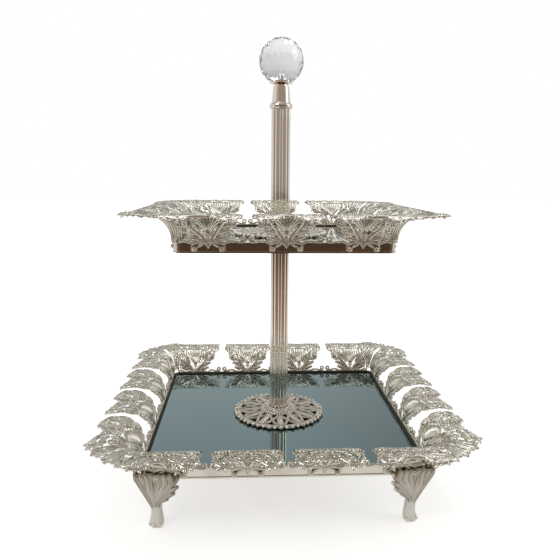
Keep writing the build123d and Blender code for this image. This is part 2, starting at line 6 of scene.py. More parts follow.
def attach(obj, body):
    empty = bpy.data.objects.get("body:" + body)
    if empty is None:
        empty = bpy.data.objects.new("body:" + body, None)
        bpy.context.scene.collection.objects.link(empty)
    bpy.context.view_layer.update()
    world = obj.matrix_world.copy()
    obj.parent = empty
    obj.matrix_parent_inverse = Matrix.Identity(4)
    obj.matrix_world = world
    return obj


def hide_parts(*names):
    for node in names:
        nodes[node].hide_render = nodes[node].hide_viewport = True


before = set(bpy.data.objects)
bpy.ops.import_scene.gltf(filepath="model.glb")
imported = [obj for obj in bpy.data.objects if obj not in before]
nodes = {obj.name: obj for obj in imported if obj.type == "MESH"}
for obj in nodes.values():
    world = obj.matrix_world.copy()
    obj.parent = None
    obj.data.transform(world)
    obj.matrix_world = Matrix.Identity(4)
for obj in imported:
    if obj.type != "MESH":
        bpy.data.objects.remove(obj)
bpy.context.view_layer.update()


# Tray pans: folded sheet metal, silver plated and polished, with a turned bead along
# the bottom edge. Each pan is a shallow square box that carries the mirror and gallery.

class Value:
    """One socket of a finish. Sums and products on it become Math nodes."""

    def __init__(self, finish, socket):
        self.finish = finish
        self.socket = socket

    def math(self, operation, first, second):
        return self.finish.node("ShaderNodeMath", {"operation": operation}, {0: first, 1: second})

    def __add__(self, other):
        return self.math("ADD", self, other)

    def __mul__(self, other):
        return self.math("MULTIPLY", self, other)

    def __rsub__(self, other):
        return self.math("SUBTRACT", other, self)

    __radd__ = __add__
    __rmul__ = __mul__


class Finish:
    """A material with one surface shader, fed by name."""

    def __init__(self, name):
        self.material = bpy.data.materials.new(name)
        self.material.use_nodes = True
        self.tree = self.material.node_tree
        self.shader = self.tree.nodes["Principled BSDF"]

    def node(self, kind, settings=None, sockets=None, output=0):
        made = self.tree.nodes.new(kind)
        for key, setting in (settings or {}).items():
            setattr(made, key, setting)
        for key, value in (sockets or {}).items():
            self.put(made.inputs[key], value)
        return Value(self, made.outputs[output])

    def put(self, socket, value):
        if isinstance(value, Value):
            self.tree.links.new(value.socket, socket)
        else:
            socket.default_value = value

    def feed(self, **sockets):
        for key, value in sockets.items():
            self.put(self.shader.inputs[key.replace("_", " ")], value)

    def place(self):
        return self.node("ShaderNodeTexCoord", output="Object")

    def axis(self, letter, where):
        return self.node("ShaderNodeSeparateXYZ", None, {"Vector": where}, letter)

    def noise(self, scale, detail):
        return self.node("ShaderNodeTexNoise", None,
                         {"Vector": self.place(), "Scale": scale, "Detail": detail})

    def blend(self, share, first, second):
        """Two colours mixed by a share. A Mix node's colour sockets are 6, 7 and 2."""
        return self.node("ShaderNodeMix", {"data_type": "RGBA"}, {0: share, 6: first, 7: second}, 2)

    def spread(self, value, low, high):
        """Nought at the low value and one at the high value."""
        return self.node("ShaderNodeMapRange", None, {"Value": value, "From Min": low, "From Max": high})

    def bump(self, height, strength, distance):
        return self.node("ShaderNodeBump", None,
                         {"Height": height, "Strength": strength, "Distance": distance})

    def on(self, mesh):
        mesh.materials.clear()
        mesh.materials.append(self.material)


TRAYS = ("lower", "upper")
SHEET_BRIGHT = (0.76, 0.725, 0.63, 1)
SHEET_DULL = (0.60, 0.56, 0.47, 1)
sheet = Finish("plated_sheet")
dulling = sheet.noise(38.0, 4.0)
marks = sheet.noise(900.0, 2.0)
sheet.feed(Base_Color=sheet.blend(sheet.spread(dulling, 0.42, 0.75), SHEET_BRIGHT, SHEET_DULL),
           Metallic=1.0, Roughness=dulling * 0.08 + marks * 0.05 + 0.06,
           Normal=sheet.bump(marks, 0.05, 0.0004))
for tray in TRAYS:
    sheet.on(nodes[f"{tray}_tray_pan"].data)


# Boards: a square of hardboard glued into each pan under the mirror, seen only at the
# hole for the column.

BOARD_DARK = (0.16, 0.11, 0.07, 1)
BOARD_LIGHT = (0.27, 0.19, 0.12, 1)
board = Finish("hardboard")
fibres = board.noise(420.0, 6.0)
board.feed(Base_Color=board.blend(fibres, BOARD_DARK, BOARD_LIGHT), Roughness=fibres * 0.2 + 0.65,
           Normal=board.bump(fibres, 0.3, 0.0003))
for tray in TRAYS:
    board.on(nodes[f"{tray}_tray_board"].data)


# Mirror gaskets: a strip pressed between the mirror's edge and the pan's wall, matt and a little dusty.
# Its near-black colour is painted shade, standing for the dark shaded line along the mirror's edge.

# Painted shade: the strip's near-black colour stands for the shade along the mirror's edge.
EDGE_SHADE_BLACK = (0.012, 0.012, 0.013, 1)
EDGE_SHADE_DUSTY = (0.045, 0.044, 0.042, 1)
gasket = Finish("black_rubber")
dust = gasket.noise(260.0, 5.0)
gasket.feed(Base_Color=gasket.blend(gasket.spread(dust, 0.45, 0.8), EDGE_SHADE_BLACK, EDGE_SHADE_DUSTY),
            Roughness=dust * 0.25 + 0.5, Normal=gasket.bump(dust, 0.2, 0.0002))
for tray in TRAYS:
    gasket.on(nodes[f"{tray}_mirror_gasket"].data)


# Mirrors: float glass with a blue-grey silvering, deeper on the lower one, with painted shade that
# darkens each towards its right side, cut square with a round hole for the column, lying loose on
# the board inside the gasket.

MIRROR_TINTS_AND_SHADE = {"lower": ((0.202, 0.286, 0.300, 1), (0.112, 0.168, 0.178, 1)),
                "upper": ((0.66, 0.69, 0.71, 1), (0.60, 0.63, 0.65, 1))}
for tray, (tint, painted_shade_tint) in MIRROR_TINTS_AND_SHADE.items():
    glass = Finish(f"{tray}_silvered_glass")
    painted_shade_wobble = glass.noise(14.0, 2.0)
    smear = glass.noise(160.0, 4.0)
    # Painted shade: each mirror turns to its darker tint from X = 0.03 m to X = 0.16 m, towards its right
    # side.
    painted_shade_to_right = glass.spread(glass.axis("X", glass.place()) + painted_shade_wobble * 0.04, 0.03, 0.16)
    glass.feed(Base_Color=glass.blend(painted_shade_to_right, tint, painted_shade_tint),
               Metallic=1.0, Roughness=smear * 0.03 + 0.015)
    glass.on(nodes[f"{tray}_mirror"].data)


# Gallery castings: openwork palmettes with volutes, cast in a zinc alloy and silver
# plated, bent from upright at the band to a level lip. The end ones turn the corner.

MM = 0.001
PITCH = 60.5
COVE = 23.5
ARC = COVE * math.pi / 2
CORNER = 8.0
LIP_LEVEL = 3.0
LIP_DROOP = 0.021
LEAST_DROOP = 0.2


def cove_place(straight):
    """Where a point of the unrolled casting lies: u along the side, s up the cove, n
    off its face. Past the length called straight it turns with the tray's corner."""
    def place(u, s, n):
        if s < 0:
            out = -n
            up = s
        elif s < ARC:
            angle = s / COVE
            out = COVE - (COVE + n) * math.cos(angle)
            up = (COVE + n) * math.sin(angle)
        else:
            past = s - ARC
            droop = LIP_DROOP * max(LEAST_DROOP, 1.0 - max(0.0, u - straight) / CORNER)
            out = COVE + past
            up = COVE + n - droop * max(0.0, past - LIP_LEVEL) ** 2
        if u <= straight:
            return (u, -out, up)
        turn = (u - straight) / (CORNER + COVE)
        reach = CORNER + out
        return (straight + reach * math.sin(turn), CORNER - reach * math.cos(turn), up)
    return place


def circle(count):
    """Points spaced evenly round a circle of radius one."""
    return [(math.cos(2 * math.pi * j / count), math.sin(2 * math.pi * j / count)) for j in range(count)]


def along(values, share):
    """The value at a share of the way through a list."""
    place = share * (len(values) - 1)
    low = min(int(place), len(values) - 2)
    return values[low] + (values[low + 1] - values[low]) * (place - low)


WEB_MIDDLE = -0.8
WEB_TOP = 0.55
WEB_BOTTOM = -2.1
THINNEST = 0.25
FULL_HALF_WIDTH = 1.1
POLE_RING = 0.04
SMALL_BALL = (8, 5)
ROUND_SECTION = ((-1, 0), (-0.66, 0.76), (0, 1), (0.66, 0.76),
                 (1, 0), (0.66, -0.76), (0, -1), (-0.66, -0.76))
RIDGED_SECTION = ((-1, 0.1), (-0.55, 0.28), (0, 1), (0.55, 0.28),
                  (1, 0.1), (0.6, -0.4), (0, -0.75), (-0.6, -0.4))


class Casting:
    """A mesh made of rounded strips and balls, drawn on an unrolled surface."""

    def __init__(self, place, middle=WEB_MIDDLE, top=WEB_TOP, bottom=WEB_BOTTOM):
        self.place = place
        self.middle = middle
        self.top = top
        self.bottom = bottom
        self.corners = []
        self.faces = []

    def rings(self, rows, closed):
        """A tube through rings of points, capped at its ends unless it is closed."""
        first = len(self.corners)
        count = len(rows[0])
        for row in rows:
            self.corners.extend(row)
        spans = len(rows) if closed else len(rows) - 1
        for i in range(spans):
            a = first + i * count
            b = first + (i + 1) % len(rows) * count
            for j in range(count):
                k = (j + 1) % count
                self.faces.append((a + j, a + k, b + k, b + j))
        if not closed:
            last = first + (len(rows) - 1) * count
            self.faces.append(tuple(first + j for j in reversed(range(count))))
            self.faces.append(tuple(last + j for j in range(count)))

    def strip(self, path, widths, section=ROUND_SECTION, lift=0.0, closed=False):
        """A strip along a path of (u, s), by its half widths along the way."""
        rows = []
        count = len(path)
        for i, (u, s) in enumerate(path):
            before = path[i - 1] if i or closed else path[i]
            after = path[(i + 1) % count] if i < count - 1 or closed else path[i]
            du = after[0] - before[0]
            ds = after[1] - before[1]
            length = math.hypot(du, ds) or 1.0
            across = (-ds / length, du / length)
            half = along(widths, i / (count - 1))
            body = min(1.0, THINNEST + (1 - THINNEST) * half / FULL_HALF_WIDTH)
            row = []
            for side, rise in section:
                height = self.top - self.middle if rise > 0 else self.middle - self.bottom
                n = self.middle + lift + rise * height * body
                row.append(self.place(u + across[0] * side * half, s + across[1] * side * half, n))
            rows.append(row)
        self.rings(rows, closed)

    def ball(self, u, s, radius, lift, sides=10, rows=6):
        """A ball on the unrolled surface."""
        self.ball_at(self.place(u, s, self.middle + lift), radius, sides, rows)

    def ball_at(self, centre, radius, sides=10, rows=6):
        x, y, z = centre
        turns = []
        for i in range(rows + 1):
            tilt = math.pi * (i / rows - 0.5)
            ring = max(math.cos(tilt), POLE_RING) * radius
            level = z + radius * math.sin(tilt)
            turns.append([(x + ring * cos, y + ring * sin, level) for cos, sin in circle(sides)])
        self.rings(turns, False)

    def mesh(self, name, finish, flip=False):
        """The mesh in metres and in its finish, left for right where it is flipped."""
        made = bpy.data.meshes.new(name)
        side = -1 if flip else 1
        places = [(side * x * MM, y * MM, z * MM) for x, y, z in self.corners]
        faces = [tuple(reversed(face)) for face in self.faces] if flip else self.faces
        made.from_pydata(places, [], faces)
        made.validate()
        made.shade_smooth()
        finish.on(made)
        return made


def sweep(points, steps=5):
    """A smooth line through the points."""
    ends = [points[0]] + list(points) + [points[-1]]
    line = []
    for a, b, c, d in zip(ends, ends[1:], ends[2:], ends[3:]):
        for i in range(steps):
            t = i / steps
            line.append(tuple(0.5 * (2 * q + (r - p) * t + (2 * p - 5 * q + 4 * r - w) * t * t
                                     + (3 * q - p - 3 * r + w) * t ** 3)
                              for p, q, r, w in zip(a, b, c, d)))
    return line + [tuple(points[-1])]


CURL_STEPS = 11
CURL_EASE = 0.8


def curl(centre, start_deg, turns, outer, inner, hand):
    """A spiral from its outer end in to its eye."""
    count = int(turns * CURL_STEPS)
    line = []
    for i in range(count + 1):
        share = i / count
        angle = math.radians(start_deg) + hand * 2 * math.pi * turns * share
        radius = outer + (inner - outer) * share ** CURL_EASE
        line.append((centre[0] + radius * math.cos(angle), centre[1] + radius * math.sin(angle)))
    return line


def tip_line(root, angle, reach):
    """Three points from a root out to a tip."""
    tip = (root[0] + reach * math.cos(angle), root[1] + reach * math.sin(angle))
    return [root, ((root[0] + tip[0]) / 2, (root[1] + tip[1]) / 2), tip]


LEAF_WIDTHS = (0.45, 0.8, 1.0, 0.92, 0.6, 0.16)
FINGER_WIDTHS = (0.34, 0.36, 0.12)
FIRST_FINGER = 0.12
FINGER_RUN = 0.68
FINGER_REACH = 1.55
FINGER_TAPER = 0.6
FINGER_LEAN = math.radians(52)
FINGER_SINK = -0.1


def acanthus(casting, points, half, fingers):
    """A ridged leaf along the points with curled fingers on both edges."""
    line = sweep(points)
    casting.strip(line, [half * share for share in LEAF_WIDTHS], RIDGED_SECTION)
    for i in range(1, fingers + 1):
        share = FIRST_FINGER + FINGER_RUN * i / fingers
        index = int(share * (len(line) - 1))
        root = line[index]
        after = line[index + 1]
        angle = math.atan2(after[1] - root[1], after[0] - root[0])
        reach = half * (FINGER_REACH - FINGER_TAPER * share)
        for side in (-1, 1):
            casting.strip(tip_line(root, angle + side * FINGER_LEAN, reach),
                          [half * width for width in FINGER_WIDTHS], RIDGED_SECTION, FINGER_SINK)


FAN_SPREAD = 36
FAN_STEP = 9
FAN_ROOT = 6.5
FAN_REACH = 22.5
FAN_ROUNDING = 0.06
FAN_FLARE = 0.25
FAN_SHARES = (0.08, 0.25, 0.45, 0.65, 0.82, 0.94, 1.0)
FAN_WIDTHS = (0.45, 0.7, 0.95, 1.2, 1.35, 1.1, 0.4)


def palmette_middle(casting):
    """The fan of reeds between the stems, on a small knot, with a leaf on top."""
    for turn in range(-FAN_SPREAD, FAN_SPREAD + 1, FAN_STEP):
        lean = math.radians(turn)
        reach = FAN_REACH - FAN_ROUNDING * abs(turn)
        reed = []
        for share in FAN_SHARES:
            flare = 1 - FAN_FLARE + FAN_FLARE * share
            reed.append((share * reach * math.sin(lean) * flare, FAN_ROOT + share * reach * math.cos(lean)))
        casting.strip(reed, FAN_WIDTHS, lift=0.1)
    casting.strip([(-2.2, 6.4), (0, 7.6), (2.2, 6.4)], (0.8, 1.6, 0.8), lift=0.35)
    casting.strip([(0, -5.0), (0, -2.6), (0, 0.5), (0, 5.6)], (0.4, 1.3, 1.3, 1.0), RIDGED_SECTION)
    casting.ball(0, 30.6, 1.4, 0.3)
    acanthus(casting, ((0, 31.6), (0, 35.6), (0, 39.6)), 2.2, 3)


PALMETTE_STEMS = (
    (((0.7, -2.4), (2.9, 2.6), (6.6, 8.2), (10.8, 13.8), (13.6, 18.4)),
     ((18.2, 19.8), 180, 1.55, 4.3, 1.2, -1), (1.4, 2.0, 2.0, 1.7, 1.5, 1.3, 0.8), 0.4),
    (((0.4, -0.6), (4.0, 0.7), (8.2, 0.2), (11.8, -1.6)),
     ((10.5, -4.6), 40, 0.5, 2.5, 2.2, -1), (1.3, 1.4, 1.3, 1.1, 0.9, 0.4), 0.0),
    (((6.0, 1.8), (12.0, -0.4), (18.0, 1.6), (23.8, 0.6)),
     ((26.6, 3.0), 235, 1.2, 2.9, 0.9, 1), (1.0, 1.2, 1.1, 1.1, 0.6), 0.0))
PALMETTE_SPIRALS = (
    (((12.4, 28.4), 250, 1.4, 3.0, 0.8, 1), (1.1, 1.05, 0.7), 0.0),
    (((4.4, 34.2), 200, 1.5, 3.2, 0.7, -1), (1.15, 1.05, 0.7), 0.25),
    (((20.0, 31.4), -20, 1.4, 3.0, 0.7, 1), (1.1, 1.0, 0.7), 0.25))
PALMETTE_EYES = (((18.2, 19.8), 1.5, 0.3), ((12.4, 28.4), 0.95, 0.2), ((4.4, 34.2), 0.9, 0.3))
PALMETTE_LEAVES = (
    (((3.0, -0.2), (6.4, -2.0), (9.2, -4.0)), 1.5, 3),
    (((2.4, 2.0), (7.0, 3.0), (11.6, 3.8), (15.8, 5.2)), 2.3, 4),
    (((4.6, 5.8), (9.4, 8.2), (13.8, 9.4), (18.0, 11.0)), 2.5, 4),
    (((9.2, 12.4), (13.6, 14.4), (18.4, 14.6), (22.0, 16.8)), 2.1, 4),
    (((4.8, 9.6), (8.2, 15.6), (9.6, 22.6), (8.6, 30.5)), 3.2, 5),
    (((14.8, 24.2), (15.8, 28.6), (16.4, 32.4), (15.2, 37.0)), 3.0, 4),
    (((21.4, 23.8), (23.6, 28.2), (24.4, 33.0), (24.0, 38.4)), 2.6, 4),
    (((11.4, 20.8), (12.6, 25.0), (11.6, 33.0)), 2.2, 4),
    (((18.4, 25.0), (20.6, 29.6), (20.2, 35.6)), 2.2, 4),
    (((0.6, 29.6), (4.4, 30.4), (8.6, 31.2), (12.2, 34.4)), 1.8, 3))
STRETCH_HEIGHT = 14


def palmette_side(casting, side, stretch):
    """Stem, volute, leaves and tail on one side of the middle line, below the lip."""
    def at(points):
        return [(side * u * (1 + (stretch - 1) * min(max(s, 0) / STRETCH_HEIGHT, 1)), s)
                for u, s in points]

    for points, volute, widths, lift in PALMETTE_STEMS:
        casting.strip(at(sweep(points) + curl(*volute)), widths, lift=lift)
    for spiral, widths, lift in PALMETTE_SPIRALS:
        casting.strip(at(curl(*spiral)), widths, lift=lift)
    for centre, radius, lift in PALMETTE_EYES:
        casting.ball(*at([centre])[0], radius, lift)
    for points, half, fingers in PALMETTE_LEAVES:
        acanthus(casting, at(points), half, fingers)


EDGE_WIDTHS = (0.8, 1.05, 1.15, 1.15, 1.0, 0.6)
EDGE_LIFT = 0.2
EDGE_TURNS = 1.2
EDGE_END = 0.8
EYE_RADIUS = 1.2
LIP_TIPS = ((0.0, 3.3), (0.5, 1.9))
TIP_WIDTHS = (1.6, 1.5, 0.5)


def lip_border(casting, points, eye, curl_radius):
    """A rolled edge of the lip with small tips, which ends in a curl round an eye."""
    end_angle = math.degrees(math.atan2(points[-1][1] - eye[1], points[-1][0] - eye[0]))
    hand = -1 if points[-1][0] > points[0][0] else 1
    line = sweep(points) + curl(eye, end_angle, EDGE_TURNS, curl_radius, EDGE_END, hand)[1:]
    casting.strip(line, EDGE_WIDTHS, lift=EDGE_LIFT)
    casting.ball(*eye, EYE_RADIUS, 0.25)
    for before, here, after in zip(points, points[1:], points[2:]):
        outwards = math.atan2(after[1] - before[1], after[0] - before[0]) - hand * math.pi / 2
        for share, reach in LIP_TIPS:
            root = (here[0] + (after[0] - here[0]) * share, here[1] + (after[1] - here[1]) * share)
            casting.strip(tip_line(root, outwards, reach), TIP_WIDTHS, RIDGED_SECTION)


SPIRAL_LIFT = 0.25
LARGE_SPIRAL = (1.3, 1.2, 0.7)
SMALL_SPIRAL = (1.2, 1.1, 0.7)
LIP_EDGE = ((0.0, 44.6), (4.2, 44.4), (8.0, 45.6), (11.6, 48.6),
            (15.8, 50.8), (20.4, 50.0), (23.8, 46.2), (24.8, 41.8))
LIP_EYE = (21.4, 40.6)
LIP_CURL = 3.2
LIP_SPIRAL_EYE = (15.8, 45.2)
LIP_SPIRALS = (((LIP_SPIRAL_EYE, 215, 1.5, 3.9, 0.8, -1), LARGE_SPIRAL),
               (((5.0, 40.6), 160, 1.5, 3.0, 0.7, -1), SMALL_SPIRAL))
LIP_LEAVES = (
    (((2.6, 36.8), (7.2, 37.8), (11.0, 41.0), (12.0, 45.4)), 2.3, 4),
    (((13.4, 38.0), (17.6, 39.4), (20.0, 43.6), (19.6, 48.4)), 2.2, 4),
    (((17.4, 47.8), (19.4, 50.4), (20.6, 52.6)), 1.8, 2),
    (((0.9, 38.6), (1.6, 41.4), (0.9, 44.0)), 1.7, 3))
LIP_BEADS = ((8.8, 43.0), (12.8, 48.4), (22.6, 46.4))


def lip_side(casting, side):
    """One of the two bulges of a straight lip: a rolled edge, spirals, leaves and beads."""
    def at(points):
        return [(side * u, s) for u, s in points]

    lip_border(casting, at(LIP_EDGE), at([LIP_EYE])[0], LIP_CURL)
    for spiral, widths in LIP_SPIRALS:
        casting.strip(at(curl(*spiral)), widths, lift=SPIRAL_LIFT)
    casting.ball(*at([LIP_SPIRAL_EYE])[0], 1.1, 0.3)
    for points, half, fingers in LIP_LEAVES:
        acanthus(casting, at(points), half, fingers)
    for u, s in at(LIP_BEADS):
        casting.ball(u, s, 1.0, 0.2, *SMALL_BALL)


def middle_casting():
    """A casting with two like sides, on the straight of the band."""
    casting = Casting(cove_place(PITCH))
    palmette_middle(casting)
    for side in (-1, 1):
        palmette_side(casting, side, 1.0)
        lip_side(casting, side)
    return casting


HALF_WIDTH = 27.5
END_MARGIN = 2.0
CORNER_SPAN = math.radians(43.2)
LOBE_EDGE = ((-6.0, 45.4), (-4.0, 48.4), (0.0, 51.0), (5.4, 52.0), (10.2, 51.0), (12.8, 48.2), (13.0, 44.6))
LOBE_EYE = (10.0, 43.2)
LOBE_CURL = 2.8
LOBE_SPIRAL_EYE = (3.8, 48.4)
LOBE_LEAVES = (
    (((-10.0, 37.0), (-6.5, 40.6), (-3.0, 44.4), (-1.0, 48.6)), 2.4),
    (((-12.0, 40.0), (-9.4, 43.0), (-6.4, 46.0)), 2.0),
    (((-3.0, 37.0), (0.4, 40.0), (4.4, 41.8), (8.4, 46.0)), 2.4),
    (((6.0, 38.0), (8.8, 43.4), (9.2, 48.0), (7.6, 51.4)), 2.3))
DIAGONAL_LEAVES = ((15.2, 15.8, 15.0, 50.0), (18.4, 19.2, 18.8, 52.2), (21.2, 22.0, 22.2, 50.2))
UPRIGHT_LEAVES = (0.34, 0.5, 0.66, 0.8, 0.93)


def end_casting(to_corner):
    """The right end of a side: its outer half is stretched round the corner into one
    large lobe and three leaves on the diagonal."""
    straight = to_corner - CORNER
    width = straight + CORNER_SPAN * (CORNER + COVE)
    casting = Casting(cove_place(straight))
    palmette_middle(casting)
    palmette_side(casting, -1, 1.0)
    lip_side(casting, -1)
    palmette_side(casting, 1, (width - END_MARGIN) / HALF_WIDTH)

    def past(points):
        return [(straight + u, s) for u, s in points]

    inner_edge = ((0.0, 44.6), (0.3 * straight, 44.4), (0.6 * straight, 45.8), (straight - 4.6, 48.4))
    casting.strip(sweep(inner_edge), (0.9, 1.1, 1.0), lift=EDGE_LIFT)
    casting.strip(curl((0.32 * straight, 40.6), 160, 1.5, 3.0, 0.7, -1), SMALL_SPIRAL, lift=SPIRAL_LIFT)
    lip_border(casting, past(LOBE_EDGE), past([LOBE_EYE])[0], LOBE_CURL)
    casting.strip(past(curl(LOBE_SPIRAL_EYE, 215, 1.6, 3.6, 0.8, -1)), LARGE_SPIRAL, lift=SPIRAL_LIFT)
    casting.ball(*past([LOBE_SPIRAL_EYE])[0], EYE_RADIUS, 0.3)
    for points, half in LOBE_LEAVES:
        acanthus(casting, past(points), half, 4)
    for root, middle, tip, reach in DIAGONAL_LEAVES:
        acanthus(casting, past(((root, 33.0), (middle, 42.0), (tip, reach))), 2.5, 5)
        casting.ball(*past([(tip, reach - 0.8)])[0], 1.5, 0.2)
    for share in UPRIGHT_LEAVES:
        acanthus(casting, [(share * width, s) for s in (3.0, 14.0, 36.0)], 2.6, 7)
    return casting


def cast_finish(name, bright, shade, patina_and_shade, sheen):
    """Plated casting: bright on its ridges, darker in its hollows with patina and painted shade, with a
    fine grain.
    """
    finish = Finish(name)
    hollows = finish.node("ShaderNodeNewGeometry", output="Pointiness")
    cloud = finish.noise(70.0, 4.0)
    grain = finish.noise(700.0, 3.0)
    tone = finish.blend(finish.spread(cloud, 0.35, 0.8), bright, shade)
    # Patina and painted shade: hollows, found by low pointiness, turn to the dark patina colour.
    patina_and_shade_share = finish.spread(hollows + cloud * 0.03, 0.43, 0.565)
    finish.feed(Base_Color=finish.blend(patina_and_shade_share, patina_and_shade, tone), Metallic=sheen,
                Roughness=grain * 0.10 + 0.14, Normal=finish.bump(grain, 0.12, 0.0004))
    return finish


def fit_piece(name, mesh, where, node, body):
    """Puts a cast piece where the stand has it, in place of its plain solid."""
    piece = bpy.data.objects.new(name, mesh)
    bpy.context.scene.collection.objects.link(piece)
    piece.matrix_world = where
    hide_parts(node)
    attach(piece, body)


GALLERY_BRIGHT = (0.80, 0.77, 0.68, 1)
GALLERY_SHADE = (0.52, 0.475, 0.39, 1)
GALLERY_PATINA_AND_SHADE = (0.16, 0.13, 0.095, 1)
SIDES = ("front", "right", "back", "left")
BAND_TOPS = {"lower": 54.0, "upper": 228.2}
HALVES = {"lower": 115.0, "upper": 88.0}
PER_SIDE = {"lower": 4, "upper": 3}
BODIES = {"lower": "stand", "upper": "upper_tray"}
cast_silver = cast_finish("cast_silver_plate", GALLERY_BRIGHT, GALLERY_SHADE, GALLERY_PATINA_AND_SHADE, 1.0)
middle_mesh = middle_casting().mesh("gallery_middle", cast_silver)
for tray in TRAYS:
    outermost = PITCH * (PER_SIDE[tray] - 1) / 2
    end = end_casting(HALVES[tray] - outermost)
    meshes = [middle_mesh] * PER_SIDE[tray]
    meshes[0] = end.mesh(f"{tray}_gallery_end_l", cast_silver, True)
    meshes[-1] = end.mesh(f"{tray}_gallery_end_r", cast_silver)
    for turn, side in enumerate(SIDES):
        for index, mesh in enumerate(meshes):
            centre = Vector((PITCH * index - outermost, -HALVES[tray], BAND_TOPS[tray])) * MM
            where = Matrix.Rotation(turn * math.pi / 2, 4, "Z") @ Matrix.Translation(centre)
            fit_piece(f"{tray}_palmette_{side}_{index + 1}", mesh, where,
                      f"{tray}_gallery_{side}_{index + 1}", BODIES[tray])


# Gallery rivets: short pins with ball heads, two to a casting, set through the casting
# and the band. They are plated together with the castings and have the same finish.

for tray in TRAYS:
    cast_silver.on(nodes[f"{tray}_gallery_rivets"].data)


# Feet: a cabriole leg under each corner, cast in one with two acanthus wings that lie
# on the lower band, riveted through the end castings. Pad toes with four small balls.

FOOT_CORNER = 115.0
BAND_BOTTOM = 45.8
WING_LOW = 20.0
WING_STANDOFF = 2.9
WING_LEAN = 9.6


def wing_place(flip):
    """Unrolled wing: u in from the tray's corner, s up from the floor, n outwards. The
    second wing is the first one mirrored about the tray's diagonal."""
    def place(u, s, n):
        lean = max(0.0, (BAND_BOTTOM - s) / (BAND_BOTTOM - WING_LOW))
        x = FOOT_CORNER + u
        y = -(FOOT_CORNER + WING_STANDOFF + n - WING_LEAN * lean)
        return (-y, -x, s) if flip else (x, y, s)
    return place


WING_MIDDLE = 0.0
WING_BACK = -0.9
WING_ROOT = (-11.0, 17.0)
WING_BODY = (
    (0.9, ((-11.2, 12.0), (-10.6, 19.0), (-8.8, 29.0), (-6.4, 40.0), (-5.2, 52.0)),
     (2.0, 3.2, 4.2, 5.8, 7.8)),
    (0.9, ((-11.4, 12.0), (-11.6, 20.0), (-14.6, 30.0), (-18.2, 40.0), (-19.6, 51.0)),
     (2.0, 3.2, 5.0, 7.6, 8.0)),
    (1.3, ((-9.6, 15.0), (-7.6, 24.0), (-3.8, 36.0), (1.6, 51.0)), (0.6, 1.1, 1.3, 1.4)))
KNUCKLES = (-25.0, -20.6, -16.2, -11.8, -7.4, -3.4)
KNUCKLE_TOP = 2.0
KNUCKLE_GATHER = 0.28
KNUCKLE_WIDTHS = (0.3, 1.1, 1.6, 1.7, 1.2)
WING_TIPS = ((-30.2, 47.0), (-29.6, 39.4), (-26.4, 32.4), (-20.8, 26.4))
WING_TIP_WIDTHS = (0.8, 1.6, 2.4, 2.8, 2.4, 1.4)


def wing(flip):
    """A smooth body that flares out of the leg, knuckles on top and fingers inside."""
    casting = Casting(wing_place(flip), WING_MIDDLE, KNUCKLE_TOP, WING_BACK)
    for top, points, widths in WING_BODY:
        casting.top = top
        casting.strip(sweep(points), widths)
    casting.top = KNUCKLE_TOP
    for u in KNUCKLES:
        low = u + KNUCKLE_GATHER * (WING_ROOT[0] - u)
        casting.strip(sweep(((low, 36.0), (u - 1.0, 42.4), (u - 0.6, 47.6), (u + 1.4, 51.6))),
                      KNUCKLE_WIDTHS)
    for index, tip in enumerate(WING_TIPS):
        root = (WING_ROOT[0] - 0.4, WING_ROOT[1] + 1.2 * (len(WING_TIPS) - index))
        bend = ((tip[0] + WING_ROOT[0]) / 2 + 0.4, (tip[1] + WING_ROOT[1]) / 2 + 3.0)
        casting.strip(sweep((root, bend, tip)), WING_TIP_WIDTHS, RIDGED_SECTION, 0.1 * index)
        casting.ball(*tip, 1.6, 0.3)
    return casting


SHANK = ((6.0, 47.0, 8.6), (6.6, 42.0, 8.2), (8.2, 33.5, 6.9), (10.0, 25.5, 5.6), (11.0, 19.0, 4.7),
         (11.4, 13.0, 4.5), (11.5, 8.0, 5.0), (11.5, 4.5, 5.4), (11.5, 1.6, 5.2), (11.5, 0.0, 4.6))
SHANK_SIDES = 16
ANKLE_IN = 11.5
TOE_TURNS = (-117, -69, -21, 27)
TOE_RING = 5.2
TOE_HEIGHT = 2.2
TOE_RADIUS = 2.1


def foot_mesh(finish):
    """Two wings, the shank between them by its inset, height and radius, and the toes."""
    foot = wing(False)
    second = wing(True)
    first = len(foot.corners)
    foot.corners += second.corners
    foot.faces += [tuple(first + i for i in reversed(face)) for face in second.faces]
    rows = []
    for inset, height, radius in sweep(SHANK, 3):
        middle = FOOT_CORNER - inset
        rows.append([(middle + radius * cos, -middle - radius * sin, max(height, 0.0))
                     for cos, sin in circle(SHANK_SIDES)])
    foot.rings(rows, False)
    ankle = FOOT_CORNER - ANKLE_IN
    for turn in TOE_TURNS:
        lean = math.radians(turn)
        foot.ball_at((ankle + TOE_RING * math.cos(lean), TOE_RING * math.sin(lean) - ankle, TOE_HEIGHT),
                     TOE_RADIUS)
    return foot.mesh("leaf_foot", finish)


LEAF_BRIGHT = (0.96, 0.94, 0.87, 1)
LEAF_SHADE = (0.82, 0.79, 0.70, 1)
LEAF_PATINA_AND_SHADE = (0.46, 0.415, 0.335, 1)
leaf_silver = cast_finish("leaf_silver_plate", LEAF_BRIGHT, LEAF_SHADE, LEAF_PATINA_AND_SHADE, 0.55)
leaf_foot = foot_mesh(leaf_silver)
for turn, corner in enumerate(("front_right", "back_right", "back_left", "front_left")):
    fit_piece(f"leaf_foot_{corner}", leaf_foot, Matrix.Rotation(turn * math.pi / 2, 4, "Z"),
              f"foot_{corner}", "stand")


# Rosettes: pierced discs round the column on each mirror, with leaf ribs, crossed
# bars, a scalloped beaded rim and a granulated hub. Cast and plated like the feet.

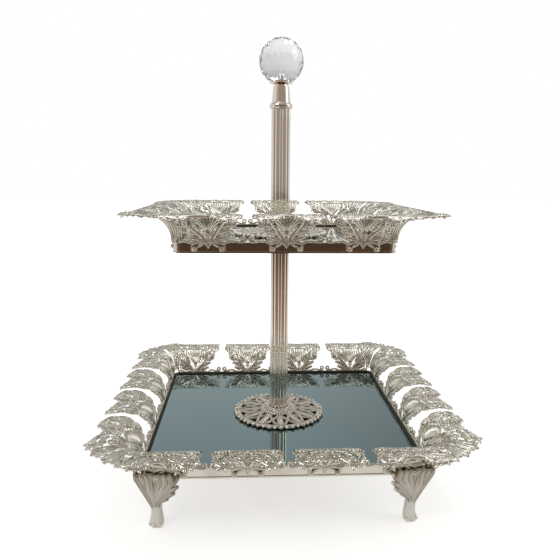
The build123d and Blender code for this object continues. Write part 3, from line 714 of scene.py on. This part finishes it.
BAYS = 12
HUB = 15.5
RIM = 40.6
DISC_LIFT = 1.7
DISC_CROWN = 1.9
DISC_TOP = 1.0
DISC_BOTTOM = -1.1
RIB_RADII = (13, 17, 22, 27, 32, 37, 41)
RIB_WIDTHS = (1.6, 2.2, 3.0, 3.4, 3.2, 2.7, 2.0)
BAR_START = 15
BAR_RUN = 26
BAR_SHARES = (0, 0.25, 0.5, 0.75, 1)
BAR_WIDTHS = (1.9, 1.65, 1.65, 1.7, 1.9)
SCALLOP_RADII = (RIM - 3.0, RIM - 0.6, RIM + 1.4, RIM + 2.8)
SCALLOP_WIDTHS = (1.4, 2.7, 2.6, 1.2)
SCALLOP_BEAD = 1.3
NOTCH_BEAD = 1.5
RIM_POINTS = 72
RIM_WIDTHS = (2.2, 2.2)
HUB_POINTS = 60
HUB_WIDTHS = (2.0, 2.0)
GRAIN_ROWS = ((17.2, 44), (15.2, 40), (13.2, 34), (11.2, 28))
GRAIN_BALL = (7, 4)
GRAIN_RADIUS = 0.8
GRAIN_LIFT = 0.8
HUB_SLOPE = 0.35
HUB_EDGE = 16.4
COLLAR = ((12.8, 3.6), (12.2, 5.2), (10.8, 6.5), (9.4, 6.9), (9.0, 6.6), (9.0, 0.6), (12.8, 0.6))
COLLAR_SIDES = 40


def disc_place(u, s, n):
    """A disc that rises evenly from its rim to its hub."""
    rise = max(0.0, 1 - (math.hypot(u, s) - HUB) / (RIM - HUB))
    return (u, s, DISC_LIFT + DISC_CROWN * rise + n)


def polar(turn, radius):
    """A point of the disc by its angle in degrees and its radius."""
    return (radius * math.cos(math.radians(turn)), radius * math.sin(math.radians(turn)))


def ring_points(radius, count):
    return [polar(360 * i / count, radius) for i in range(count)]


def rosette_mesh(finish):
    """Ribs, crossed bars and a beaded rim bay by bay, then the hub and its collar."""
    disc = Casting(disc_place, 0.0, DISC_TOP, DISC_BOTTOM)
    bay = 360 / BAYS
    for index in range(BAYS):
        turn = index * bay
        disc.strip([polar(turn, radius) for radius in RIB_RADII], RIB_WIDTHS, RIDGED_SECTION, 0.25)
        for side in (-1, 1):
            bar = [polar(turn + side * bay * share, BAR_START + BAR_RUN * share) for share in BAR_SHARES]
            disc.strip(bar, BAR_WIDTHS)
        for scallop in (turn, turn + bay / 2):
            disc.strip([polar(scallop, radius) for radius in SCALLOP_RADII], SCALLOP_WIDTHS, lift=-0.1)
            disc.ball(*polar(scallop, RIM + 1.2), SCALLOP_BEAD, 0.6, *SMALL_BALL)
        for notch in (turn + bay / 4, turn + 3 * bay / 4):
            disc.ball(*polar(notch, RIM + 1.0), NOTCH_BEAD, 0.1, *SMALL_BALL)
    disc.strip(ring_points(RIM - 1.6, RIM_POINTS), RIM_WIDTHS, closed=True)
    disc.strip(ring_points(HUB - 1.0, HUB_POINTS), HUB_WIDTHS, lift=0.3, closed=True)
    for radius, count in GRAIN_ROWS:
        lift = GRAIN_LIFT + HUB_SLOPE * (HUB_EDGE - radius)
        for u, s in ring_points(radius, count):
            disc.ball(u, s, GRAIN_RADIUS, lift, *GRAIN_BALL)
    disc.rings([[(radius * cos, radius * sin, height) for radius, height in COLLAR]
                for cos, sin in circle(COLLAR_SIDES)], True)
    return disc.mesh("pierced_rosette", finish)


MIRROR_TOPS = {"lower": 52.0, "upper": 226.2}
rosette = rosette_mesh(leaf_silver)
for tray in TRAYS:
    fit_piece(f"{tray}_pierced_rosette", rosette, Matrix.Translation((0, 0, MIRROR_TOPS[tray] * MM)),
              f"{tray}_rosette", BODIES[tray])


# Column: two reeded brass tubes, silver plated and polished, with steel end plugs on a
# steel tie rod that runs through both trays to a washer and nut underneath.

BRIGHT_SILVER = (0.87, 0.84, 0.765, 1)
WARM_SILVER = (0.84, 0.79, 0.72, 1)
reeded = Finish("reeded_silver")
streaks = reeded.noise(26.0, 3.0)
fine = reeded.noise(600.0, 2.0)
reeded.feed(Base_Color=reeded.blend(reeded.spread(streaks, 0.35, 0.75), BRIGHT_SILVER, WARM_SILVER),
            Metallic=1.0, Roughness=streaks * 0.06 + fine * 0.04 + 0.05,
            Normal=reeded.bump(streaks, 0.08, 0.002))
for tray in TRAYS:
    reeded.on(nodes[f"{tray}_column_tube"].data)

ZINC_PALE = (0.62, 0.63, 0.64, 1)
ZINC_DULL = (0.45, 0.45, 0.43, 1)
zinc = Finish("zinc_plated_steel")
spangle = zinc.noise(180.0, 4.0)
zinc.feed(Base_Color=zinc.blend(spangle, ZINC_PALE, ZINC_DULL), Metallic=1.0,
          Roughness=spangle * 0.2 + 0.25, Normal=zinc.bump(spangle, 0.1, 0.0003))
for node in ("lower_column_plugs", "upper_column_plugs", "tie_rod", "base_washer", "base_nut"):
    zinc.on(nodes[node].data)


# Finial: a turned ferrule with a round bead that screws onto the rod by its insert, and
# a petal cup, in warm polished plate, under a ball of cut crystal on a hidden stud.

ROSE_SILVER = (0.80, 0.70, 0.62, 1)
ferrule = Finish("turned_silver")
turning = ferrule.noise(500.0, 2.0)
blush = ferrule.noise(60.0, 3.0)
ferrule.feed(Base_Color=ferrule.blend(ferrule.spread(blush, 0.3, 0.7), WARM_SILVER, ROSE_SILVER),
             Metallic=1.0, Roughness=turning * 0.05 + blush * 0.05 + 0.04,
             Normal=ferrule.bump(turning, 0.06, 0.0003))
for node in ("finial_ferrule", "finial_cup"):
    ferrule.on(nodes[node].data)
for node in ("finial_insert", "finial_stud"):
    zinc.on(nodes[node].data)

CRYSTAL_CLEAR = (0.96, 0.975, 0.97, 1)
CRYSTAL_SHADE_GREY = (0.74, 0.765, 0.745, 1)
crystal = Finish("cut_crystal")
veil_and_shade_wobble = crystal.noise(45.0, 2.0)
# Painted shade: the ball turns grey towards its left side, from X = -0.002 m to X = -0.018 m.
shaded = crystal.spread(crystal.axis("X", crystal.place()) * -1 + veil_and_shade_wobble * 0.004, -0.002, 0.018)
crystal.feed(Base_Color=crystal.blend(shaded, CRYSTAL_CLEAR, CRYSTAL_SHADE_GREY), Roughness=veil_and_shade_wobble * 0.02 + 0.01,
             IOR=1.54, Transmission_Weight=1.0)
crystal.on(nodes["crystal_ball"].data)


# Studio: a pale floor that keeps the stand's shadow and has a painted shadow round the stand, a
# white background, three soft boxes, and the camera where the photograph was taken.

FLOOR_REACH = 6.0
FLOOR_GAP = 0.0002
FLOOR_WHITE = (0.80, 0.80, 0.80, 1)
FLOOR_GLOW = 0.24
CAMERA_GLOW_UNDER_PAINTED_SHADOW = 0.54
ROOM_FLOOR_NEAR = (0.36, 0.23, 0.15, 1)
ROOM_FLOOR_FAR = (0.10, 0.055, 0.038, 1)
paper = Finish("white_paper_floor")
where = paper.node("ShaderNodeNewGeometry", output="Position")
forward = paper.axis("Y", where) * -1
off = paper.node("ShaderNodeVectorMath", {"operation": "LENGTH"}, {0: where}, "Value")
seen = paper.node("ShaderNodeLightPath", output="Is Camera Ray")
mirrored = paper.node("ShaderNodeLightPath", output="Is Glossy Ray")
through = paper.node("ShaderNodeLightPath", output="Is Transmission Ray")
past_paper = mirrored * paper.spread(forward, 0.22, 0.46)
room_floor = paper.blend(paper.spread(forward, 0.7, 1.7), ROOM_FLOOR_NEAR, ROOM_FLOOR_FAR)
floor_colour = paper.blend(past_paper, FLOOR_WHITE, room_floor)
matt = paper.node("ShaderNodeBsdfDiffuse", None, {"Color": floor_colour})
reflected = (through + mirrored * (1 - past_paper)) * FLOOR_GLOW
# Painted shadow: the glow seen from the camera is lower within 0.2 m of the stand and rises to full by 0.9
# m.
seen_with_painted_shadow = seen * (CAMERA_GLOW_UNDER_PAINTED_SHADOW + paper.spread(off, 0.2, 0.9) * (1 - CAMERA_GLOW_UNDER_PAINTED_SHADOW))
glow = paper.node("ShaderNodeEmission", None, {"Strength": reflected + seen_with_painted_shadow})
paper.put(paper.tree.nodes["Material Output"].inputs["Surface"],
          paper.node("ShaderNodeAddShader", None, {0: matt, 1: glow}))

floor_mesh = bpy.data.meshes.new("floor")
floor_mesh.from_pydata([(-FLOOR_REACH, -FLOOR_REACH, 0), (FLOOR_REACH, -FLOOR_REACH, 0),
                        (FLOOR_REACH, FLOOR_REACH, 0), (-FLOOR_REACH, FLOOR_REACH, 0)], [], [(0, 1, 2, 3)])
paper.on(floor_mesh)
floor = bpy.data.objects.new("floor", floor_mesh)
floor.location.z = -FLOOR_GAP
bpy.context.scene.collection.objects.link(floor)


class Surround(Finish):
    """The world's nodes, fed in the same way."""

    def __init__(self, made):
        self.tree = made.node_tree


WHITE = (1, 1, 1, 1)
BACKDROP = (0.78, 0.78, 0.77, 1)
ROOM = (0.36, 0.29, 0.24, 1)
CEILING = (0.34, 0.35, 0.36, 1)
world = bpy.data.worlds.new("studio")
world.use_nodes = True
bpy.context.scene.world = world
studio = Surround(world)
sky = studio.node("ShaderNodeTexCoord", output="Generated")
seen = studio.node("ShaderNodeLightPath", output="Is Camera Ray")
behind = studio.spread(studio.axis("Y", sky) * -1, 0.1, 0.75)
overhead = studio.spread(studio.axis("Z", sky), 0.25, 0.95)
room = studio.blend(overhead, studio.blend(behind, BACKDROP, ROOM), CEILING)
background = world.node_tree.nodes["Background"]
background.inputs["Strength"].default_value = 1.0
studio.put(background.inputs["Color"], studio.blend(seen, room, WHITE))

LAMP_AIM = Vector((0, 0, 0.15))
SOFT_BOXES = (("key_soft_box", (-0.9, -0.8, 1.3), (0.7, 0.7), 6.5),
              ("side_soft_box", (1.3, -0.3, 0.9), (0.5, 0.9), 3.5),
              ("top_soft_box", (0.2, 0.5, 1.6), (0.9, 0.9), 4.5))
for name, place, (width, height), power in SOFT_BOXES:
    lamp = bpy.data.lights.new(name, "AREA")
    lamp.shape = "RECTANGLE"
    lamp.size = width
    lamp.size_y = height
    lamp.energy = power
    holder = bpy.data.objects.new(name, lamp)
    holder.location = place
    holder.rotation_mode = "QUATERNION"
    holder.rotation_quaternion = (LAMP_AIM - Vector(place)).to_track_quat("-Z", "Y")
    bpy.context.scene.collection.objects.link(holder)

CAMERA_PLACE = (-0.0302, -0.5411, 0.2806)
CAMERA_YAW = math.radians(3.23)
CAMERA_TILT = math.radians(10.22)
CAMERA_ROLL = math.radians(0.49)
FOCAL_PIXELS = 585.4
IMAGE_PIXELS = 560.0
SENSOR_WIDTH = 36.0
ahead = Vector((math.sin(CAMERA_YAW) * math.cos(CAMERA_TILT),
                math.cos(CAMERA_YAW) * math.cos(CAMERA_TILT), -math.sin(CAMERA_TILT)))
level_right = Vector((math.cos(CAMERA_YAW), -math.sin(CAMERA_YAW), 0))
level_up = level_right.cross(ahead)
right = level_right * math.cos(CAMERA_ROLL) + level_up * math.sin(CAMERA_ROLL)
up = level_up * math.cos(CAMERA_ROLL) - level_right * math.sin(CAMERA_ROLL)
lens = bpy.data.cameras.new("camera")
lens.sensor_width = SENSOR_WIDTH
lens.lens = FOCAL_PIXELS / IMAGE_PIXELS * SENSOR_WIDTH
camera = bpy.data.objects.new("camera", lens)
turned = Matrix((right, up, -ahead)).transposed().to_4x4()
camera.matrix_world = Matrix.Translation(CAMERA_PLACE) @ turned
bpy.context.scene.collection.objects.link(camera)
bpy.context.scene.camera = camera
bpy.context.scene.view_settings.view_transform = "Standard"

bpy.context.view_layer.update()
